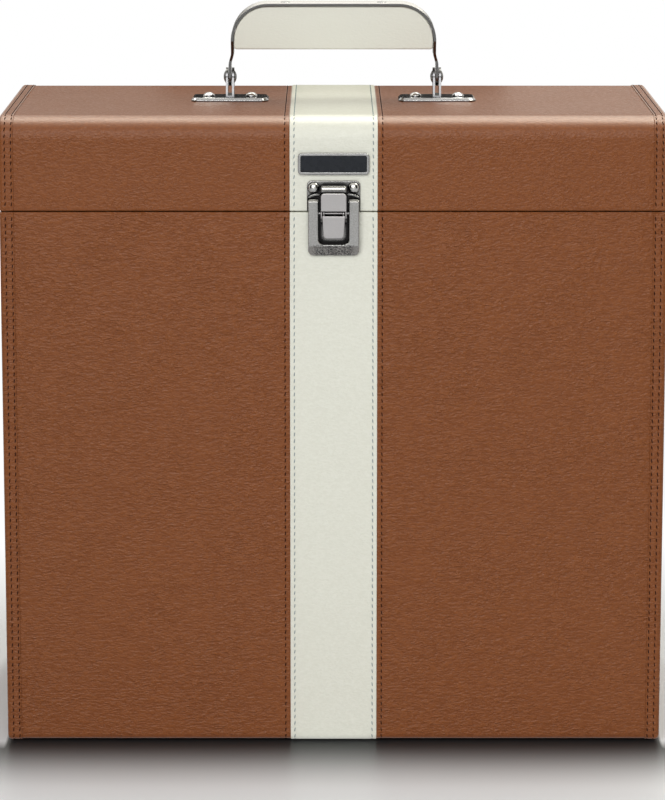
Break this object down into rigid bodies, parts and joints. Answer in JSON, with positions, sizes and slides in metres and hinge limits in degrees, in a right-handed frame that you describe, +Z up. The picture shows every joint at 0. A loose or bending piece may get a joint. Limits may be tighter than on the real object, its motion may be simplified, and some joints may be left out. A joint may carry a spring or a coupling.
{
  "type": "record carrying case",
  "caption": "Upright leatherette-covered case for 12-inch records, with a hinged lid, a draw latch on a cream centre stripe and a folding carrying handle.",
  "frame": {"origin": "middle of the underside, on the surface that the case stands on", "axes": "+X to the right seen from the front, -Y towards the latch side (the front), +Z up"},
  "size_m": [0.35, 0.1738, 0.3912],
  "materials": {
    "brown_leatherette": "fine pebbled grain, satin",
    "cream_leatherette": "very fine grain, satin",
    "board": "raw fibreboard",
    "lining": "short black flock",
    "base_sheet": "matt black sheet",
    "nickel": "bright nickel plate",
    "hinge_steel": "nickel-plated pressed steel",
    "badge_field": "gloss dark enamel, bare"
  },
  "bodies": {
    "case": {"case_front_board": "board", "case_back_board": "board", "case_left_board": "board", "case_right_board": "board", "case_base_board": "board", "case_left_cover": "brown_leatherette", "case_right_cover": "brown_leatherette", "case_left_side_cover": "brown_leatherette", "case_right_side_cover": "brown_leatherette", "case_stripe": "cream_leatherette", "case_base_sheet": "base_sheet", "case_lining": "lining", "left_hinge_case_leaf": "hinge_steel", "right_hinge_case_leaf": "hinge_steel", "left_hinge_pin": "hinge_steel", "right_hinge_pin": "hinge_steel", "hinge_case_rivets": "hinge_steel", "latch_base": "nickel", "latch_base_rivets": "nickel", "latch_lever_pin": "nickel"},
    "lid": {"lid_top_board": "board", "lid_front_board": "board", "lid_back_board": "board", "lid_left_board": "board", "lid_right_board": "board", "lid_front_batten": "board", "lid_back_batten": "board", "lid_left_cover": "brown_leatherette", "lid_right_cover": "brown_leatherette", "lid_left_side_cover": "brown_leatherette", "lid_right_side_cover": "brown_leatherette", "lid_stripe": "cream_leatherette", "lid_lining": "lining", "left_hinge_lid_leaf": "hinge_steel", "right_hinge_lid_leaf": "hinge_steel", "hinge_lid_rivets": "hinge_steel", "handle_rivet_washers": "hinge_steel", "latch_keeper": "nickel", "latch_keeper_rivets": "nickel", "left_handle_plate": "nickel", "right_handle_plate": "nickel", "left_handle_clevis": "nickel", "right_handle_clevis": "nickel", "left_handle_pivot": "nickel", "right_handle_pivot": "nickel", "handle_plate_rivets": "nickel", "badge_frame": "nickel", "badge_inlay": "badge_field"},
    "handle": {"handle_strap": "nickel", "handle_grip_screws": "nickel", "handle_grip_cover": "cream_leatherette", "handle_grip_core": "board"},
    "latch_lever": {"latch_lever": "nickel", "latch_claw_pin": "nickel"},
    "latch_claw": {"latch_claw": "nickel"}
  },
  "joints": [
    {"name": "lid_hinge", "type": "hinge", "parent": "case", "child": "lid", "pos_m": [0, 0.0818, 0.288], "axis": [-1, 0, 0], "range_deg": [0, 105]},
    {"name": "handle_fold", "type": "hinge", "parent": "lid", "child": "handle", "pos_m": [0, 0, 0.3502], "axis": [1, 0, 0], "range_deg": [-90, 90]},
    {"name": "latch_lift", "type": "hinge", "parent": "case", "child": "latch_lever", "pos_m": [0, -0.0826, 0.2875], "axis": [-1, 0, 0], "range_deg": [0, 90]},
    {"name": "claw_release", "type": "hinge", "parent": "latch_lever", "child": "latch_claw", "pos_m": [0, -0.0821, 0.2838], "axis": [1, 0, 0], "range_deg": [0, 100]}
  ],
  "couplings": [
    {"joint": "claw_release", "follows": "latch_lift", "ratio": 1.1}
  ]
}
